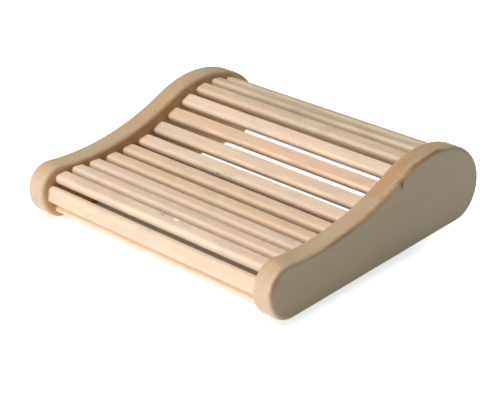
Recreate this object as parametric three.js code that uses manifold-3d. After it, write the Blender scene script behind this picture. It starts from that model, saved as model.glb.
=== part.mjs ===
// Contoured slatted headrest in wood: two shaped side panels joined by fixed slats.
// Millimetres, +Z up. X runs along the slats, +Y points to the tall rear end.
// The origin is on the floor, under the centre of the object.

import * as THREE from 'three';
import { mergeVertices } from 'three/addons/utils/BufferGeometryUtils.js';
import Module from 'manifold-3d';

// Overall size
const WIDTH = 400;
const DEPTH = 394;
const HEIGHT = 115;

// Side panels: a board with all its outer edges rounded over
const PANEL_THICKNESS = 28;
const PANEL_EDGE_RADIUS = 5.5;
const CREST = { y: 94.3, z: HEIGHT, radius: 147 };
const DIP = { y: -119.3, z: 68.3 };
const NOSE_TOP_RADIUS = 30;
const NOSE_FOOT_RADIUS = 40;
const REAR_FOOT_RADIUS = 41;
const REAR_SHOULDER_HEIGHT = 43;

// Slats: flat strips with well rounded corners, their ends glued into blind housings
const SLAT = { width: 20.5, thickness: 12, cornerRadius: 5 };
const HOUSING_DEPTH = 12;
const GLUE_GAP = 0.3;

// The three slats that wrap the nose, from the lowest one up: centre and tilt from level
const NOSE_SLATS = [
  { y: -167.3, z: 15.2, tilt: 155 },
  { y: -181.3, z: 38.8, tilt: 80 },
  { y: -163.8, z: 55.5, tilt: 5 },
];

// The slats of the seating curve: where the first one is, and every one's tilt, from the dip
// behind the nose up to the rear crest. Each is one pitch on from the last.
const RUN_START = { y: -137.4, z: 56.2 };
const RUN_PITCH = 28.9;
const RUN_TILTS = [-5, -4, 1, 4, 11, 23, 23, 23, 11, -9, -19];

// The three slats that wrap the rear end, from the crest down
const REAR_SLATS = [
  { y: 165.8, z: 74.8, tilt: -38 },
  { y: 181.3, z: 52.3, tilt: -76 },
  { y: 178.5, z: 27, tilt: -106 },
];

const OUTLINE_SEGMENTS = 8;
const EDGE_SEGMENTS = 4;
const CORNER_SEGMENTS = 3;

const BEECH = { panel: 0xc6a67f, slat: 0xe2c6a2, panelRoughness: 0.6, slatRoughness: 0.55 };

const wasm = await Module();
wasm.setup();

// The side outline in the Y-Z plane, walked from the floor at the nose, up and over to the rear.
function panelOutline() {
  const front = -DEPTH / 2;
  const rear = DEPTH / 2;

  // The convex crest and the concave dip meet tangentially, which fixes the dip's radius
  const crestCentreZ = CREST.z - CREST.radius;
  const across = CREST.y - DIP.y;
  const rise = DIP.z - crestCentreZ;
  const dipRadius = (across ** 2 + rise ** 2 - CREST.radius ** 2) / (2 * (CREST.radius - rise));
  const dipCentreZ = DIP.z + dipRadius;
  const slope = Math.asin(across / (CREST.radius + dipRadius));

  // So do the dip and the nose
  const noseY = front + NOSE_TOP_RADIUS;
  const reach = dipRadius + NOSE_TOP_RADIUS;
  const noseSwing = Math.asin((DIP.y - noseY) / reach);
  const noseZ = dipCentreZ - reach * Math.cos(noseSwing);
  const up = Math.PI / 2;

  const outline = new THREE.Shape();
  outline.moveTo(front + NOSE_FOOT_RADIUS, 0);
  outline.absarc(front + NOSE_FOOT_RADIUS, NOSE_FOOT_RADIUS, NOSE_FOOT_RADIUS, -up, -Math.PI, true);
  outline.absarc(noseY, noseZ, NOSE_TOP_RADIUS, Math.PI, up - noseSwing, true);
  outline.absarc(DIP.y, dipCentreZ, dipRadius, -up - noseSwing, -up + slope, false);
  outline.absarc(CREST.y, crestCentreZ, CREST.radius, up + slope, up, true);
  outline.absellipse(
    CREST.y, REAR_SHOULDER_HEIGHT, rear - CREST.y, CREST.z - REAR_SHOULDER_HEIGHT, up, 0, true);
  outline.absarc(rear - REAR_FOOT_RADIUS, REAR_FOOT_RADIUS, REAR_FOOT_RADIUS, 0, -up, true);
  outline.closePath();
  return outline;
}

// Centre and tilt of every slat, from the underside of the nose, over the top, to the rear foot.
function slatStations() {
  const run = [];
  let { y, z } = RUN_START;
  RUN_TILTS.forEach((tilt, i) => {
    if (i > 0) {
      const heading = THREE.MathUtils.degToRad((RUN_TILTS[i - 1] + tilt) / 2);
      y += RUN_PITCH * Math.cos(heading);
      z += RUN_PITCH * Math.sin(heading);
    }
    run.push({ y, z, tilt });
  });
  return [...NOSE_SLATS, ...run, ...REAR_SLATS];
}

// Stands a shape drawn in Y and Z upright, so that its extrusion runs along +X from startX.
function standUpright(geometry, startX) {
  const axes = new THREE.Matrix4().makeBasis(
    new THREE.Vector3(0, 1, 0), new THREE.Vector3(0, 0, 1), new THREE.Vector3(1, 0, 0));
  return geometry.applyMatrix4(axes).translate(startX, 0, 0);
}

// A rounded rectangle, as a slat's section, grown all round by the clearance.
function slatSection(clearance) {
  const halfWidth = SLAT.width / 2 + clearance;
  const halfThickness = SLAT.thickness / 2 + clearance;
  const radius = SLAT.cornerRadius + clearance;
  const section = new THREE.Shape();
  const corners = [[1, -1], [1, 1], [-1, 1], [-1, -1]];
  corners.forEach(([sideY, sideZ], i) => {
    const from = (i - 1) * Math.PI / 2;
    section.absarc(
      sideY * (halfWidth - radius), sideZ * (halfThickness - radius), radius, from, from + Math.PI / 2);
  });
  section.closePath();
  return section;
}

// A straight bar of the slat's section at one station, from startX to endX.
function slatBar(station, startX, endX, clearance) {
  const bar = new THREE.ExtrudeGeometry(slatSection(clearance), {
    depth: endX - startX, bevelEnabled: false, curveSegments: CORNER_SEGMENTS,
  });
  bar.rotateZ(THREE.MathUtils.degToRad(station.tilt)).translate(station.y, station.z, 0);
  return standUpright(bar, startX);
}

function toSolid(geometry) {
  const bare = geometry.clone();
  bare.deleteAttribute('normal');
  bare.deleteAttribute('uv');
  const merged = mergeVertices(bare, 1e-4);
  return new wasm.Manifold(new wasm.Mesh({
    numProp: 3,
    vertProperties: new Float32Array(merged.attributes.position.array),
    triVerts: new Uint32Array(merged.index.array),
  }));
}

function toGeometry(solid) {
  const { vertProperties, triVerts } = solid.getMesh();
  const geometry = new THREE.BufferGeometry();
  geometry.setAttribute('position', new THREE.BufferAttribute(new Float32Array(vertProperties), 3));
  geometry.setIndex(new THREE.BufferAttribute(new Uint32Array(triVerts), 1));
  geometry.computeVertexNormals();
  return geometry;
}

// One side panel. Side is -1 for the left one and 1 for the right one.
function panelGeometry(side, stations) {
  const inner = WIDTH / 2 - PANEL_THICKNESS;
  const board = new THREE.ExtrudeGeometry(panelOutline(), {
    depth: PANEL_THICKNESS - 2 * PANEL_EDGE_RADIUS,
    curveSegments: OUTLINE_SEGMENTS,
    bevelThickness: PANEL_EDGE_RADIUS,
    bevelSize: PANEL_EDGE_RADIUS,
    bevelOffset: -PANEL_EDGE_RADIUS,
    bevelSegments: EDGE_SEGMENTS,
  });
  const innerX = side * inner;
  const outerX = side * WIDTH / 2;
  standUpright(board, Math.min(innerX, outerX) + PANEL_EDGE_RADIUS);
  let solid = toSolid(board);
  const mouthX = innerX - side;
  const bottomX = innerX + side * HOUSING_DEPTH;
  for (const station of stations) {
    const cutter = slatBar(station, Math.min(mouthX, bottomX), Math.max(mouthX, bottomX), GLUE_GAP);
    solid = solid.subtract(toSolid(cutter));
  }
  return toGeometry(solid);
}

function namedMesh(name, geometry, color, roughness) {
  const mesh = new THREE.Mesh(geometry, new THREE.MeshStandardMaterial({ color, roughness, metalness: 0 }));
  mesh.name = name;
  return mesh;
}

const stations = slatStations();
const headrest = new THREE.Group();

headrest.add(
  namedMesh('left_side_panel', panelGeometry(-1, stations), BEECH.panel, BEECH.panelRoughness),
  namedMesh('right_side_panel', panelGeometry(1, stations), BEECH.panel, BEECH.panelRoughness));

const slatEnd = WIDTH / 2 - PANEL_THICKNESS + HOUSING_DEPTH - GLUE_GAP;
stations.forEach((station, i) => {
  const name = `slat_${String(i + 1).padStart(2, '0')}`;
  headrest.add(
    namedMesh(name, slatBar(station, -slatEnd, slatEnd, 0), BEECH.slat, BEECH.slatRoughness));
});

export default headrest;
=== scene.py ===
"""Contoured slatted headrest in pale beech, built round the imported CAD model. Metres, +Z up.

Each CAD node is replaced by a finer piece of the same size: two shaped side boards with rounded
edges and blind housings, and seventeen slats. The wood is procedural, with its own rings in each piece.
Some tones of the wood and of the floor stand in for light and shade.
"""

import math
import random

import bmesh
import bpy
import numpy as np
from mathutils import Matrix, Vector


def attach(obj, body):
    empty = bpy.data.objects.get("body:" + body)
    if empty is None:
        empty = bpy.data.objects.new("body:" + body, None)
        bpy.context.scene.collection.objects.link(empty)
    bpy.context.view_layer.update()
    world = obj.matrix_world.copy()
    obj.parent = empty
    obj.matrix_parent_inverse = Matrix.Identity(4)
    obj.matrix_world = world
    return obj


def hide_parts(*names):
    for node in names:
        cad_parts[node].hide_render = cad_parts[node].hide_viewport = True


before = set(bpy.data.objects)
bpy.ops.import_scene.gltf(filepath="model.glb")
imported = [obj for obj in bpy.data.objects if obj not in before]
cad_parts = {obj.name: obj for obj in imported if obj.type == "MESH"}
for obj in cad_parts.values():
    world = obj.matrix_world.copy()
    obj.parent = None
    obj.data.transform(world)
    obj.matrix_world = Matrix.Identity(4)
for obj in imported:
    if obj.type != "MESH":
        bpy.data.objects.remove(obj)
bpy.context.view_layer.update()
MM = 0.001

# The same driving sizes as the CAD model, in metres
WIDTH, DEPTH, HEIGHT = 0.400, 0.394, 0.115
PANEL_THICKNESS, PANEL_EDGE_RADIUS = 0.028, 0.0055
CREST_Y, CREST_RADIUS = 0.0943, 0.147
DIP_Y, DIP_Z = -0.1193, 0.0683
NOSE_TOP_RADIUS, NOSE_FOOT_RADIUS, REAR_FOOT_RADIUS = 0.030, 0.040, 0.041
REAR_SHOULDER_HEIGHT = 0.043
SLAT_WIDTH, SLAT_THICKNESS, SLAT_CORNER = 0.0205, 0.012, 0.005
HOUSING_DEPTH, GLUE_GAP = 0.012, 0.0003

# How finely the meshes follow those shapes
OUTLINE_STEP = 0.0025
EDGE_STEPS = 10
CORNER_STEPS = 8
SLAT_RINGS = 25
RIM_RINGS = (0.35, 0.5, 0.65)
SLAT_COUNT = 17

# A camera fitted to the side boards' outlines: metres, degrees and millimetres
CAMERA = {"at": (1.0661, -1.1906, 0.8212), "pitch": 63.39, "heading": 42.03, "lens": 102.95}

SEED = 14
rng = random.Random(SEED)


# ---------------------------------------------------------------- camera

def make_camera():
    data = bpy.data.cameras.new("camera")
    data.lens, data.sensor_width = CAMERA["lens"], 36.0
    data.clip_start, data.clip_end = 0.05, 60.0
    camera = bpy.data.objects.new("camera", data)
    camera.location = CAMERA["at"]
    camera.rotation_euler = (math.radians(CAMERA["pitch"]), 0.0, math.radians(CAMERA["heading"]))
    bpy.context.scene.collection.objects.link(camera)
    bpy.context.scene.camera = camera


# ---------------------------------------------------------------- shapes

def arc(centre, radii, start, end, convex=True):
    """Points and outward normals along an arc or a quarter ellipse, as rows of y, z, ny, nz."""
    count = max(2, round(abs(end - start) * max(radii) / OUTLINE_STEP))
    angle = np.linspace(start, end, count + 1)
    y = centre[0] + radii[0] * np.cos(angle)
    z = centre[1] + radii[1] * np.sin(angle)
    normal = np.stack([np.cos(angle) / radii[0], np.sin(angle) / radii[1]], 1)
    normal /= np.linalg.norm(normal, axis=1, keepdims=True)
    return np.column_stack([y, z, normal if convex else -normal])


def line(start, end, normal):
    """Points along a straight stretch, as rows of y, z, ny, nz."""
    length = math.dist(start, end)
    count = max(1, round(length / OUTLINE_STEP))
    share = np.linspace(0, 1, count + 1)[:, None]
    points = np.array(start) * (1 - share) + np.array(end) * share
    return np.column_stack([points, np.tile(normal, (count + 1, 1))])


def panel_outline():
    """The side profile as rows of y, z, ny, nz, from the floor at the nose, up and over to the rear."""
    front, rear, up = -DEPTH / 2, DEPTH / 2, math.pi / 2
    crest_z = HEIGHT - CREST_RADIUS
    across, rise = CREST_Y - DIP_Y, DIP_Z - crest_z
    dip_radius = (across ** 2 + rise ** 2 - CREST_RADIUS ** 2) / (2 * (CREST_RADIUS - rise))
    slope = math.asin(across / (CREST_RADIUS + dip_radius))
    dip = (DIP_Y, DIP_Z + dip_radius)
    nose_y = front + NOSE_TOP_RADIUS
    reach = dip_radius + NOSE_TOP_RADIUS
    swing = math.asin((DIP_Y - nose_y) / reach)
    nose_z = dip[1] - reach * math.cos(swing)
    foot, heel = front + NOSE_FOOT_RADIUS, rear - REAR_FOOT_RADIUS
    rows = np.vstack([
        arc((foot, NOSE_FOOT_RADIUS), (NOSE_FOOT_RADIUS,) * 2, -up, -math.pi),
        line((front, NOSE_FOOT_RADIUS), (front, nose_z), (-1, 0)),
        arc((nose_y, nose_z), (NOSE_TOP_RADIUS,) * 2, math.pi, up - swing),
        arc(dip, (dip_radius,) * 2, -up - swing, -up + slope, convex=False),
        arc((CREST_Y, crest_z), (CREST_RADIUS,) * 2, up + slope, up),
        arc((CREST_Y, REAR_SHOULDER_HEIGHT), (rear - CREST_Y, HEIGHT - REAR_SHOULDER_HEIGHT), up, 0),
        line((rear, REAR_SHOULDER_HEIGHT), (rear, REAR_FOOT_RADIUS), (1, 0)),
        arc((heel, REAR_FOOT_RADIUS), (REAR_FOOT_RADIUS,) * 2, 0, -up),
        line((heel, 0), (foot, 0), (0, -1)),
    ])
    apart = np.linalg.norm(rows[:, :2] - np.roll(rows[:, :2], 1, axis=0), axis=1)
    return rows[apart > OUTLINE_STEP / 20]


def slat_station(name):
    """Centre and tilt of a CAD slat, from its mesh: its section's longest direction lies across it."""
    points = np.array([v.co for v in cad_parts[name].data.vertices])[:, 1:]
    centre = (points.min(0) + points.max(0)) / 2
    spread, axes = np.linalg.eigh(np.cov((points - centre).T))
    across = axes[:, spread.argmax()]
    return centre, math.atan2(across[1], across[0])


def slat_section(station, clearance=0.0):
    """A rounded rectangle at a station, as rows of y, z and the share of a rounded corner."""
    centre, tilt = station
    radius = SLAT_CORNER + clearance
    half = np.array([SLAT_WIDTH / 2 + clearance - radius, SLAT_THICKNESS / 2 + clearance - radius])
    rows = []
    for quarter, sign in enumerate(((1, -1), (1, 1), (-1, 1), (-1, -1))):
        for k in range(CORNER_STEPS + 1):
            share = k / CORNER_STEPS
            angle = (quarter - 1 + share) * math.pi / 2
            rows.append((*(half * sign + radius * np.array([math.cos(angle), math.sin(angle)])),
                         math.sin(share * math.pi)))
    rows = np.array(rows)
    turn = np.array([[math.cos(tilt), math.sin(tilt)], [-math.sin(tilt), math.cos(tilt)]])
    return np.column_stack([rows[:, :2] @ turn + centre, rows[:, 2]])


def add_ring(bm, x, points):
    """A loop of vertices in the plane at x."""
    return [bm.verts.new((x, y, z)) for y, z in points]


def bridge(bm, a, b):
    """A smooth band of faces between two loops."""
    for i in range(len(a)):
        j = (i + 1) % len(a)
        bm.faces.new((a[i], a[j], b[j], b[i])).smooth = True


def loop_edges(bm, ring):
    """A loop's edges, made where they are missing."""
    pairs = zip(ring, ring[1:] + ring[:1])
    return [bm.edges.get(pair) or bm.edges.new(pair) for pair in pairs]


def finish_piece(bm, name, node, material, edge, end_grain):
    """Turns the mesh into a named piece that stands for its CAD node."""
    bmesh.ops.recalc_face_normals(bm, faces=bm.faces)
    bm.verts.index_update()
    order = {v: i for i, v in enumerate(bm.verts)}
    mesh = bpy.data.meshes.new(name)
    bm.to_mesh(mesh)
    for label, table in (("edge", edge), ("end_grain", end_grain)):
        values = np.zeros(len(order), np.float32)
        for vertex, value in table.items():
            values[order[vertex]] = value
        mesh.attributes.new(label, "FLOAT", "POINT").data.foreach_set("value", values)
    bm.free()
    mesh.materials.append(material)
    piece = bpy.data.objects.new(name, mesh)
    bpy.context.scene.collection.objects.link(piece)
    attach(piece, "root")
    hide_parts(node)


def make_panel(side, stations, material):
    """A side board: rounded over on both faces, with a blind housing for each slat's end."""
    name = "left_side_panel" if side < 0 else "right_side_panel"
    outline = panel_outline()
    points, normals = outline[:, :2], outline[:, 2:]
    radius = PANEL_EDGE_RADIUS
    sweep = [k / EDGE_STEPS * math.pi / 2 for k in range(EDGE_STEPS + 1)]
    rim = [(radius * (1 - math.cos(a)), radius * (1 - math.sin(a)), a) for a in sweep]
    flat = [(PANEL_THICKNESS * share, 0.0, math.pi / 2) for share in RIM_RINGS]
    back = [(PANEL_THICKNESS - depth, inset, a) for depth, inset, a in reversed(rim)]

    bm = bmesh.new()
    edge, end_grain, rings = {}, {}, []
    for depth, inset, angle in rim + flat + back:
        ring = add_ring(bm, side * (WIDTH / 2 - depth), points - normals * inset)
        for vertex, normal in zip(ring, normals):
            edge[vertex] = math.sin(2 * angle)
            end_grain[vertex] = abs(normal[0]) * math.sin(angle)
        if rings:
            bridge(bm, rings[-1], ring)
        rings.append(ring)
    bm.faces.new(rings[0])

    inner_x = side * (WIDTH / 2 - PANEL_THICKNESS)
    mouths = []
    for station in stations:
        section = slat_section(station, GLUE_GAP)[:, :2]
        mouth = add_ring(bm, inner_x, section)
        bottom = add_ring(bm, inner_x + side * HOUSING_DEPTH, section)
        bridge(bm, mouth, bottom)
        bm.faces.new(bottom)
        mouths.append(mouth)
    rims = [e for ring in [rings[-1]] + mouths for e in loop_edges(bm, ring)]
    bmesh.ops.triangle_fill(bm, use_beauty=True, use_dissolve=False, edges=rims, normal=(-side, 0, 0))
    for mouth in mouths:
        for e in loop_edges(bm, mouth):
            e.smooth = False
    finish_piece(bm, "board_" + name, name, material, edge, end_grain)


def make_slat(number, station, material):
    """A straight slat with rounded corners, from housing bottom to housing bottom."""
    node = f"slat_{number:02d}"
    reach = WIDTH / 2 - PANEL_THICKNESS + HOUSING_DEPTH - GLUE_GAP
    section = slat_section(station)
    bm = bmesh.new()
    edge, end_grain, rings = {}, {}, []
    for share in np.linspace(-1, 1, SLAT_RINGS):
        ring = add_ring(bm, share * reach, section[:, :2])
        for vertex, corner in zip(ring, section[:, 2]):
            edge[vertex] = corner
        if rings:
            bridge(bm, rings[-1], ring)
        rings.append(ring)
    for ring in (rings[0], rings[-1]):
        bm.faces.new(ring)
        for e in loop_edges(bm, ring):
            e.smooth = False
    finish_piece(bm, "wood_" + node, node, material, edge, end_grain)


# ---------------------------------------------------------------- wood

class Graph:
    """Short calls for building a material's nodes."""

    def __init__(self, name):
        self.material = bpy.data.materials.new(name)
        self.material.use_nodes = True
        self.tree = self.material.node_tree
        self.tree.nodes.clear()

    def node(self, kind, inputs=None, **settings):
        made = self.tree.nodes.new("ShaderNode" + kind)
        for key, value in settings.items():
            setattr(made, key, value)
        for key, value in (inputs or {}).items():
            self.feed(made.inputs[key], value)
        return made

    def feed(self, socket, value):
        if isinstance(value, bpy.types.NodeSocket):
            self.tree.links.new(value, socket)
        else:
            socket.default_value = value

    def math(self, operation, a, b=0.0):
        return self.node("Math", {0: a, 1: b}, operation=operation).outputs[0]

    def product(self, first, *others):
        for other in others:
            first = self.math("MULTIPLY", first, other)
        return first

    def vector(self, operation, a, b=(0, 0, 0)):
        made = self.node("VectorMath", {0: a, 1: b}, operation=operation)
        return made.outputs["Value" if operation in ("LENGTH", "DISTANCE") else "Vector"]

    def stretch(self, value, low, high, to_low=0.0, to_high=1.0):
        """Fades softly from one result to the other while the value goes from low to high."""
        made = self.node("MapRange", {"Value": value, "From Min": low, "From Max": high,
                                      "To Min": to_low, "To Max": to_high},
                         interpolation_type="SMOOTHSTEP")
        return made.outputs["Result"]

    def noise(self, vector, scale, detail=2.0, roughness=0.5):
        return self.node("TexNoise", {"Vector": vector, "Scale": scale, "Detail": detail,
                                      "Roughness": roughness})

    def mix(self, factor, a, b, blend="MIX"):
        made = self.node("Mix", data_type="RGBA", blend_type=blend)
        for socket, value in ((made.inputs[0], factor), (made.inputs[6], a), (made.inputs[7], b)):
            self.feed(socket, value)
        return made.outputs[2]


def srgb(*levels):
    """A colour given as 0-255 display levels, as linear light with alpha."""
    shares = [level / 255 for level in levels]
    return (*[v / 12.92 if v <= 0.04 else ((v + 0.055) / 1.055) ** 2.4 for v in shares], 1.0)


# How often each pattern of the wood repeats in a metre, along the grain and across it
GRAIN = {"wander": (4, 22), "fibre": (22, 900), "streak": (7, 190), "cloud": (11, 60), "drift": (14, 40),
         "rays": (170, 620)}
RING_WANDER = 0.011
BAND_RATE = 130.0
PITH_DISTANCE = (0.03, 0.09)
ROUND_OVER_FADE = 0.0025


def beech(name, along, look):
    """Planed beech. Along is the grain's axis, 'x' or 'y'; look holds the piece's colours and places."""
    g = Graph(name)
    place = g.node("TexCoord").outputs["Object"]
    split = g.node("SeparateXYZ", {0: place}).outputs
    grain, side = (split[0], split[1]) if along == "x" else (split[1], split[0])
    lean = (rng.uniform(-0.03, 0.03), rng.uniform(-0.02, 0.02))
    a = g.math("ADD", side, g.math("MULTIPLY", grain, lean[0]))
    b = g.math("ADD", split[2], g.math("MULTIPLY", grain, lean[1]))
    wood = g.node("CombineXYZ", {0: grain, 1: a, 2: b}).outputs[0]
    wood = g.vector("ADD", wood, (rng.uniform(-3, 3), *look["pith"]))

    def scaled(pattern):
        lengthwise, crosswise = GRAIN[pattern]
        return g.vector("MULTIPLY", wood, (lengthwise, crosswise, crosswise))

    # Growth rings round a pith that lies outside the piece, drawn out along the grain
    wander = g.vector("SUBTRACT", g.noise(scaled("wander"), 1.0, 3.0).outputs["Color"], (0.5, 0.5, 0.5))
    wander = g.vector("MULTIPLY", wander, (0.0, RING_WANDER, RING_WANDER))
    radius = g.vector("LENGTH", g.vector("MULTIPLY", g.vector("ADD", wood, wander), (0, 1, 1)))
    for knot in look.get("knots", ()):
        near = nearness(g, place, knot["at"], [half * knot["spread"] for half in knot["size"]])
        radius = g.math("ADD", radius, g.stretch(near, 0.0, 1.0, knot["bulge"], 0.0))
    ring = g.math("FRACT", g.math("DIVIDE", radius, look["ring"]))
    late = g.math("MULTIPLY", g.stretch(ring, 0.25, 0.90), g.stretch(ring, 1.0, 0.94))
    across_rings = g.node("CombineXYZ", {0: g.math("MULTIPLY", radius, BAND_RATE)}).outputs[0]
    broad = g.noise(across_rings, 1.0, 1.0).outputs[0]

    # Fibres, pores and the short dark rays that mark beech
    fibre = g.noise(scaled("fibre"), 1.0, 4.0, 0.62).outputs[0]
    streak = g.noise(scaled("streak"), 1.0, 3.0, 0.55).outputs[0]
    cloud = g.noise(scaled("cloud"), 1.0, 2.0, 0.5).outputs[0]
    drift = g.noise(scaled("drift"), 1.7, 1.0, 0.5).outputs[0]
    cells = g.node("TexVoronoi", {"Vector": scaled("rays"), "Scale": 1.0, "Randomness": 1.0}).outputs
    chosen = g.math("GREATER_THAN", g.node("SeparateColor", {0: cells["Color"]}).outputs[0], 0.55)
    fleck = g.math("MULTIPLY", g.stretch(cells["Distance"], 0.30, 0.12), chosen)

    edge = g.node("Attribute", attribute_name="edge").outputs["Fac"]
    end_grain = g.node("Attribute", attribute_name="end_grain").outputs["Fac"]
    ends = g.stretch(end_grain, 0.45, 0.95)

    colour = g.mix(g.stretch(cloud, 0.38, 0.64), look["pale"], look["warm"])
    coolness = g.math("MULTIPLY", g.stretch(drift, 0.50, 0.66), look["cool_share"])
    colour = g.mix(coolness, colour, look["cool"])
    colour = g.mix(g.math("MULTIPLY", g.stretch(broad, 0.45, 0.75), look["band"]), colour, look["deep"])
    if "end" in look:
        colour = g.mix(g.math("MULTIPLY", ends, look["end_share"]), colour, look["end"])
    # Partly painted shade: the broad outer faces darker and greyer, the inner faces darker and warmer for
    # shade and warm bounced light
    if "outside" in look:
        far = g.math("ABSOLUTE", split[0])
        outer_x, inner_x = WIDTH / 2, WIDTH / 2 - PANEL_THICKNESS
        outer = g.stretch(far, outer_x - ROUND_OVER_FADE, outer_x)
        inner = g.stretch(far, inner_x + ROUND_OVER_FADE, inner_x)
        colour = g.mix(g.math("MULTIPLY", outer, look["outside_shade_share"]), colour, look["outside"])
        colour = g.mix(g.math("MULTIPLY", inner, look["inside_shade_share"]), colour, look["inside"])
    for band in look.get("bands", ()):
        colour = band_colour(g, split, edge, streak, band, colour)
    for patch in look.get("patches", ()):
        colour = patch_colour(g, place, cloud, patch, colour)
    colour = g.mix(g.math("MULTIPLY", g.stretch(streak, 0.45, 0.72), look["streak"]), colour, look["deep"])
    late_ends = g.math("MULTIPLY", ends, look.get("late_ends", 0.0))
    late_share = g.math("ADD", look["late"], late_ends)
    colour = g.mix(g.math("MULTIPLY", late, late_share), colour, look["deep"])
    colour = g.mix(g.math("MULTIPLY", g.stretch(fibre, 0.50, 0.80), look["fibre"]), colour, look["deep"])
    colour = g.mix(g.math("MULTIPLY", fleck, look["fleck"]), colour, look["ray"])
    # Paler rounded edges: wear, and on slats 9 to 11 also a painted highlight
    worn_and_lit = g.product(edge, g.stretch(cloud, 0.40, 0.62), look["wear_and_highlight"])
    colour = g.mix(worn_and_lit, colour, look["polish_and_highlight"])
    for knot in look.get("knots", ()):
        colour = knot_colour(g, place, wood, knot, colour)
    for mark in look.get("marks", ()):
        colour = mark_colour(g, place, streak, mark, colour)

    rough = g.stretch(fibre, 0.3, 0.75, look["gloss"], look["gloss"] + 0.14)
    relief = g.math("SUBTRACT", g.math("MULTIPLY", fibre, 0.7),
                    g.math("ADD", g.math("MULTIPLY", fleck, 0.5), g.math("MULTIPLY", late, 0.15)))
    bump = g.node("Bump", {"Strength": 0.35, "Distance": 0.00015, "Height": relief}).outputs[0]
    shader = g.node("BsdfPrincipled", {"Base Color": colour, "Roughness": rough, "Normal": bump,
                                       "Metallic": 0.0, "IOR": 1.46, "Specular IOR Level": 0.35})
    g.node("OutputMaterial", {"Surface": shader.outputs[0]})
    return g.material


def band_colour(g, split, edge, wobble, band, colour):
    """A band of another colour along the rounded upper edge of a board's outer face, between two places.
    """
    reach = g.math("ADD", edge, g.stretch(wobble, 0.3, 0.7, -band["ragged"], band["ragged"]))
    body = g.stretch(reach, 0.15, 0.85)
    outer = g.stretch(split[0], band["x"][0], band["x"][1])
    start = g.stretch(split[1], band["y"][0], band["y"][0] + band["fade"])
    stop = g.stretch(split[1], band["y"][1], band["y"][1] - band["fade"])
    above = g.stretch(split[2], band["z"], band["z"] + band["fade"])
    length = g.product(start, stop, above)
    share = g.product(body, outer, length, band["share"])
    return g.mix(share, colour, band["colour"])


def nearness(g, place, at, size):
    """How many half-sizes away from a place the surface is."""
    offset = g.vector("SUBTRACT", place, at)
    return g.vector("LENGTH", g.vector("MULTIPLY", offset, tuple(1 / half for half in size)))


def patch_colour(g, place, wobble, patch, colour):
    """A soft-edged stain in the wood."""
    near = nearness(g, place, patch["at"], patch["size"])
    near = g.math("ADD", near, g.stretch(wobble, 0.3, 0.7, -0.3, 0.3))
    return g.mix(g.stretch(near, 1.2, 0.5, 0.0, patch["share"]), colour, patch["colour"])


def knot_colour(g, place, wood, knot, colour):
    """A dark heart with a ragged edge, in a brown halo."""
    rough = g.noise(g.vector("MULTIPLY", wood, (500, 500, 500)), 1.0, 2.0).outputs[0]
    near = nearness(g, place, knot["at"], knot["size"])
    near = g.math("ADD", near, g.stretch(rough, 0.2, 0.8, -0.35, 0.35))
    colour = g.mix(g.stretch(near, 3.2, 1.0, 0.0, 0.55), colour, knot["halo"])
    return g.mix(g.stretch(near, 1.2, 0.8, 0.0, 0.95), colour, knot["heart"])


def mark_colour(g, place, wobble, mark, colour):
    """A short scratch, ray or chip, and on slats 3 and 4 a pale spot of painted light: a thin tilted
    ellipsoid of another colour.
    """
    turned = g.node("VectorRotate", {"Vector": g.vector("SUBTRACT", place, mark["at"]),
                                     "Axis": mark.get("axis", (1, 0, 0)),
                                     "Angle": -math.radians(mark.get("angle", 0))})
    near = nearness(g, turned.outputs[0], (0, 0, 0), mark["size"])
    near = g.math("ADD", near, g.stretch(wobble, 0.3, 0.7, -0.3, 0.3))
    return g.mix(g.stretch(near, 1.0, 0.5, 0.0, mark["share"]), colour, mark["colour"])


# ---------------------------------------------------------------- setting

# The floor: where its dark painted shadow lies and fades out, and how strongly its painted glow shows
# elsewhere
PAINTED_SHADOW_HALF_WIDTH = (0.185, 0.200)
PAINTED_SHADOW_MIDDLE_Y = -0.038
PAINTED_SHADOW_HALF_DEPTH = (0.085, 0.133)
PAPER, PAINTED_SHADOW = (0.9, 0.9, 0.9, 1), (0.34, 0.30, 0.25, 1)
GLOW, PAINTED_SHADOW_GLOW = 0.60, 0.01
GLOW_COLOUR = (0.92, 0.97, 1, 1)
# Where the painted glow is stronger, behind, beside and away from the headrest: where that starts, where
# it is full, and by how much
MORE_GLOW = {"behind": (0.05, 0.11, 0.22), "beside": (0.19, 0.24, 0.15), "away": (0.35, 0.90, 0.15)}
FLOOR_SIZE, FLOOR_DROP = 12.0, 0.0002


def floor_paper():
    """Pale paper that glows a little with painted light, as if lit from below, with a dark painted shadow
    under the front slats.
    """
    g = Graph("floor_paper")
    place = g.node("TexCoord").outputs["Object"]
    split = g.node("SeparateXYZ", {0: place}).outputs
    from_middle = g.math("ABSOLUTE", split[0])
    from_row = g.math("ABSOLUTE", g.math("ADD", split[1], -PAINTED_SHADOW_MIDDLE_Y))
    # Painted shadow: the paper darker and glowing less under the front slats
    shade = g.math("MULTIPLY", g.stretch(from_middle, *reversed(PAINTED_SHADOW_HALF_WIDTH)),
                   g.stretch(from_row, *reversed(PAINTED_SHADOW_HALF_DEPTH)))
    distances = {"behind": split[1], "beside": from_middle, "away": g.vector("LENGTH", place)}
    # Painted light: the paper glows, least in the painted shadow and more behind, beside and away from the
    # headrest
    glow = g.stretch(shade, 0.0, 1.0, GLOW, PAINTED_SHADOW_GLOW)
    for where, (start, full, more) in MORE_GLOW.items():
        glow = g.math("ADD", glow, g.stretch(distances[where], start, full, 0.0, more))
    shader = g.node("BsdfPrincipled", {"Base Color": g.mix(shade, PAPER, PAINTED_SHADOW), "Roughness": 0.9,
                                       "Specular IOR Level": 0.0, "Emission Color": GLOW_COLOUR,
                                       "Emission Strength": glow})
    g.node("OutputMaterial", {"Surface": shader.outputs[0]})
    return g.material


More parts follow.
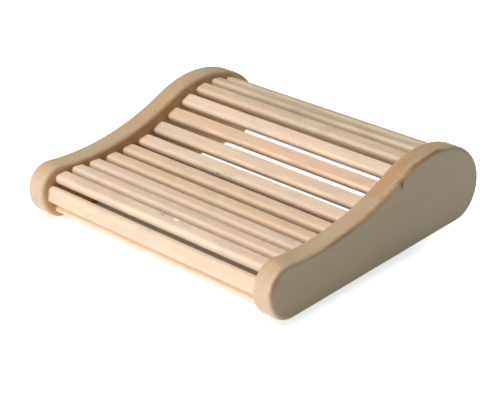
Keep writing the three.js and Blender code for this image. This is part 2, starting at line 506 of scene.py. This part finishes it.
def make_floor():
    bm = bmesh.new()
    bmesh.ops.create_grid(bm, x_segments=4, y_segments=4, size=FLOOR_SIZE)
    mesh = bpy.data.meshes.new("floor")
    bm.to_mesh(mesh)
    bm.free()
    mesh.materials.append(floor_paper())
    floor = bpy.data.objects.new("floor", mesh)
    floor.location.z = -FLOOR_DROP
    bpy.context.scene.collection.objects.link(floor)


WORLD_COLOUR, WORLD_STRENGTH = (0.80, 0.92, 1.0, 1), 0.22
LIGHT_SIZE, LIGHT_TARGET = 0.9, (0, 0, 0.05)
LIGHTS = {
    "key": {"at": (-0.25, -0.78, 1.68), "watts": 34.0, "colour": (1.0, 0.955, 0.905)},
    "front_fill": {"at": (-0.25, -1.9, 0.42), "watts": 11.2, "colour": (1.0, 0.955, 0.91)},
}


def area_light(name, at, watts, colour):
    data = bpy.data.lights.new(name, "AREA")
    data.shape, data.size, data.energy, data.color = "SQUARE", LIGHT_SIZE, watts, colour
    light = bpy.data.objects.new(name, data)
    light.location = at
    aim = Vector(LIGHT_TARGET) - Vector(at)
    light.rotation_euler = aim.to_track_quat("-Z", "Y").to_euler()
    bpy.context.scene.collection.objects.link(light)


def make_light():
    world = bpy.data.worlds.new("studio")
    bpy.context.scene.world = world
    world.use_nodes = True
    background = world.node_tree.nodes["Background"]
    background.inputs[0].default_value = WORLD_COLOUR
    background.inputs[1].default_value = WORLD_STRENGTH
    for name, light in LIGHTS.items():
        area_light(name, **light)
    settings = bpy.context.scene.view_settings
    settings.view_transform = "Standard"
    settings.look = "None"


# ---------------------------------------------------------------- the headrest

# Rings are spaced in metres; late, band, streak, fibre, fleck and the edges' wear say how strongly each
# one shows; the rounded edges are paler from wear, and on slats 9 to 11 also from a painted highlight
SLAT_LOOK = {
    "ring": 0.0036, "late": 0.09, "band": 0.10, "streak": 0.12, "fibre": 0.16, "fleck": 0.22,
    "wear_and_highlight": 0.20, "gloss": 0.46, "cool_share": 0.75,
    "deep": srgb(176, 136, 98), "ray": srgb(150, 108, 74), "polish_and_highlight": srgb(224, 202, 176),
}
# Each slat comes from its own stick, so each has its own tone: pale, warm and cool parts.
# Bright is the lowest slat's, and stands in for light that reaches under the nose.
# The grey tone of slats 12 to 14 at the rear is darker and greyer, partly as painted shade
TONES = {
    "bright": {"pale": srgb(238, 210, 184), "warm": srgb(238, 204, 174), "cool": srgb(228, 202, 178)},
    "cream": {"pale": srgb(216, 196, 176), "warm": srgb(216, 190, 168), "cool": srgb(202, 186, 170)},
    "honey": {"pale": srgb(212, 189, 164), "warm": srgb(214, 186, 158), "cool": srgb(200, 180, 156)},
    "rosy": {"pale": srgb(204, 180, 156), "warm": srgb(206, 176, 150), "cool": srgb(192, 170, 150)},
    "fawn": {"pale": srgb(208, 188, 166), "warm": srgb(208, 182, 158), "cool": srgb(196, 180, 162)},
    "grey": {"pale": srgb(204, 186, 164), "warm": srgb(200, 176, 150), "cool": srgb(182, 170, 149)},
}
SLAT_TONES = ("bright fawn cream cream cream honey honey cream fawn rosy cream grey grey "
              "grey cream cream honey").split()

PANEL_LOOK = {
    "ring": 0.0062, "late": 0.04, "late_ends": 0.05, "band": 0.06, "streak": 0.12, "fibre": 0.18,
    "fleck": 0.25, "wear_and_highlight": 0.20, "gloss": 0.48, "cool_share": 0.5,
    "pale": srgb(182, 160, 132), "warm": srgb(180, 153, 122), "cool": srgb(172, 158, 135),
    "deep": srgb(140, 104, 68), "ray": srgb(110, 76, 46), "polish_and_highlight": srgb(196, 170, 138),
    "end": srgb(197, 171, 150), "end_share": 0.85,
    # The broad faces' tones stand in for part of their light and shade
    "outside": srgb(129, 115, 92), "outside_shade_share": 0.85,
    "inside": srgb(178, 136, 86), "inside_shade_share": 0.75,
}
GOLDEN, BROWN = srgb(176, 130, 78), srgb(136, 96, 58)
KNOT = {"spread": 7.0, "bulge": 0.006, "halo": BROWN, "heart": srgb(58, 38, 24)}


def mm(*values):
    return tuple(value * MM for value in values)


def spot(at, half_sizes, share, colour):
    """A mark or a patch: half sizes in millimetres, how strongly it shows, and its colour."""
    return {"at": at, "size": mm(*half_sizes), "share": share, "colour": colour}


def scratch(x, y, z, half_length, angle, share=0.65, half_depth=0.55):
    """A fine dark line on a board's outer face: half sizes in millimetres, slope in degrees."""
    return {**spot(mm(x, y, z), (1.5, half_length, half_depth), share, BROWN), "angle": angle}


def end_line(x, z, half_length, angle, share=0.35):
    """A ring's edge, as a fine steep line on the end grain of a board's nose, in millimetres."""
    line_spot = spot(mm(x, -194, z), (0.45, 8, half_length), share, BROWN)
    return {**line_spot, "angle": angle, "axis": (0, 1, 0)}


BOARDS = {
    "left": {
        "pith": (0.290, -0.060),
        "patches": [spot(mm(-186, 12, 90), (18, 80, 30), 0.5, srgb(178, 142, 104)),
                    spot(mm(-185, -176, 72), (10, 13, 9), 0.4, srgb(200, 156, 116))],
        "knots": [dict(KNOT, at=mm(-176.5, 3.9, 89.7), size=mm(0.6, 0.6, 0.6), bulge=0.001)],
        "marks": [spot(mm(-184, -197, 36), (9, 3, 0.5), 0.45, BROWN),
                  spot(mm(-188, -197, 32.5), (5, 3, 0.5), 0.35, BROWN)],
    },
    "right": {
        "pith": (-0.290, -0.075),
        "bands": [
            {"x": (0.188, 0.196), "y": (-0.110, -0.035), "z": 0.05, "fade": 0.02, "ragged": 0.5,
             "share": 0.55, "colour": BROWN},
            {"x": (0.184, 0.194), "y": (-0.045, 0.085), "z": 0.05, "fade": 0.02, "ragged": 0.4,
             "share": 0.75, "colour": GOLDEN},
            {"x": (0.190, 0.197), "y": (0.045, 0.120), "z": 0.05, "fade": 0.015, "ragged": 0.5,
             "share": 0.75, "colour": BROWN},
            # Partly painted shade: a brown line in the crease between the nose and the outer face
            {"x": (0.195, 0.199), "y": (-0.205, -0.172), "z": 0.036, "fade": 0.010, "ragged": 0.5,
             "share": 0.7, "colour": BROWN},
        ],
        "patches": [spot(mm(188, -179, 72.5), (15, 10, 6), 0.8, srgb(204, 166, 112)),
                    spot(mm(182, 40, 100), (15, 75, 24), 0.7, srgb(170, 134, 90))],
        "knots": [dict(KNOT, at=mm(199, 33.6, 94.5), size=mm(4.5, 2.2, 3.2))],
        "marks": [scratch(200, 22, 71, 5, 3), scratch(200, 18, 74, 4, 8), scratch(200, 25, 68, 3, 0),
                  scratch(200, 76, 68, 4, 8), scratch(200, 73, 65, 3, 0),
                  scratch(200, 105, 88, 1, 0, 0.6, 0.9),
                  scratch(200, 144, 69, 17, -12), scratch(200, 140, 67, 12, -14, 0.4),
                  scratch(200, 134, 72.5, 8, -12, 0.4), scratch(200, -120, 22, 12, 4, 0.3),
                  scratch(198.6, 38, 97.5, 4, 40, 0.8, 0.6),
                  end_line(179, 58, 12, 6), end_line(184, 56, 14, 9), end_line(189, 60, 10, 12)],
    },
}

stations = [slat_station(f"slat_{n:02d}") for n in range(1, SLAT_COUNT + 1)]


def on_slat(number, along, across, up):
    """A place given in millimetres from a slat's middle: along it, across it to the rear, and up."""
    (y, z), tilt = stations[number - 1]
    tilt = math.atan(math.tan(tilt))
    side, lift = mm(across * math.cos(tilt) - up * math.sin(tilt),
                    across * math.sin(tilt) + up * math.cos(tilt))
    return (along * MM, y + side, z + lift)


def pin_knot(at, half_sizes, heart):
    return dict(KNOT, at=at, size=mm(*half_sizes), bulge=0.002, heart=heart)


# Rounded front edges that catch more light than this studio gives
PAINTED_EDGE_HIGHLIGHT = {"wear_and_highlight": 0.75, "polish_and_highlight": srgb(238, 212, 184)}
SLAT_MARKS = {
    2: {"late": 0.03, "streak": 0.06, "fibre": 0.10, "fleck": 0.14},
    # The near-white spots at the rear top edges of slats 3 and 4 are painted light
    3: {"knots": [pin_knot(on_slat(3, 1.1, 3.4, 6), (1.2, 0.6, 0.6), srgb(120, 74, 58))],
        "marks": [spot(on_slat(3, 22.6, 5.5, 6), (5.5, 2.6, 2.0), 0.9, srgb(246, 236, 222))]},
    4: {"marks": [spot(on_slat(4, -7.1, 4.3, 6), (4.2, 1.6, 2.0), 0.85, srgb(244, 232, 216))]},
    7: {"marks": [spot(on_slat(7, -73, 0.8, 6), (3.0, 0.8, 1.0), 0.5, BROWN)]},
    8: {"knots": [pin_knot(on_slat(8, -31.5, -9.8, 2.2), (1.3, 1.2, 0.7), srgb(120, 88, 58))],
        "marks": [spot(on_slat(8, -26.2, -9.2, 4.2), (3.4, 1.2, 0.4), 0.65, BROWN),
                  spot(on_slat(8, -20, -7.5, 5.1), (3.0, 1.0, 0.4), 0.55, BROWN),
                  spot(on_slat(8, -12, -7, 5.6), (6.0, 1.2, 0.5), 0.45, srgb(168, 128, 88))]},
    9: PAINTED_EDGE_HIGHLIGHT,
    10: {**PAINTED_EDGE_HIGHLIGHT,
         "patches": [spot(on_slat(10, 10, -6.6, 5), (45, 10, 12), 0.35, srgb(222, 172, 136))]},
    11: {**PAINTED_EDGE_HIGHLIGHT,
         "marks": [spot(on_slat(11, 12.9, -0.2, 6), (4.0, 0.7, 1.0), 0.4, BROWN)]},
    13: {"patches": [spot(on_slat(13, -30, -8, 4.6), (80, 6, 10), 0.4, srgb(156, 146, 122)),
                     spot(on_slat(13, 70, -4.2, 6.2), (60, 5, 10), 0.35, srgb(158, 148, 128))]},
}

make_camera()
for side, hand in ((-1, "left"), (1, "right")):
    make_panel(side, stations, beech(f"beech_{hand}_board", "y", {**PANEL_LOOK, **BOARDS[hand]}))

for number, (station, tone) in enumerate(zip(stations, SLAT_TONES), start=1):
    turn = rng.uniform(0, 2 * math.pi)
    far = rng.uniform(*PITH_DISTANCE)
    y, z = station[0]
    look = {**SLAT_LOOK, **TONES[tone], **SLAT_MARKS.get(number, {}),
            "pith": (far * math.cos(turn) - y, far * math.sin(turn) - z)}
    make_slat(number, station, beech(f"beech_slat_{number:02d}", "x", look))

make_floor()
make_light()
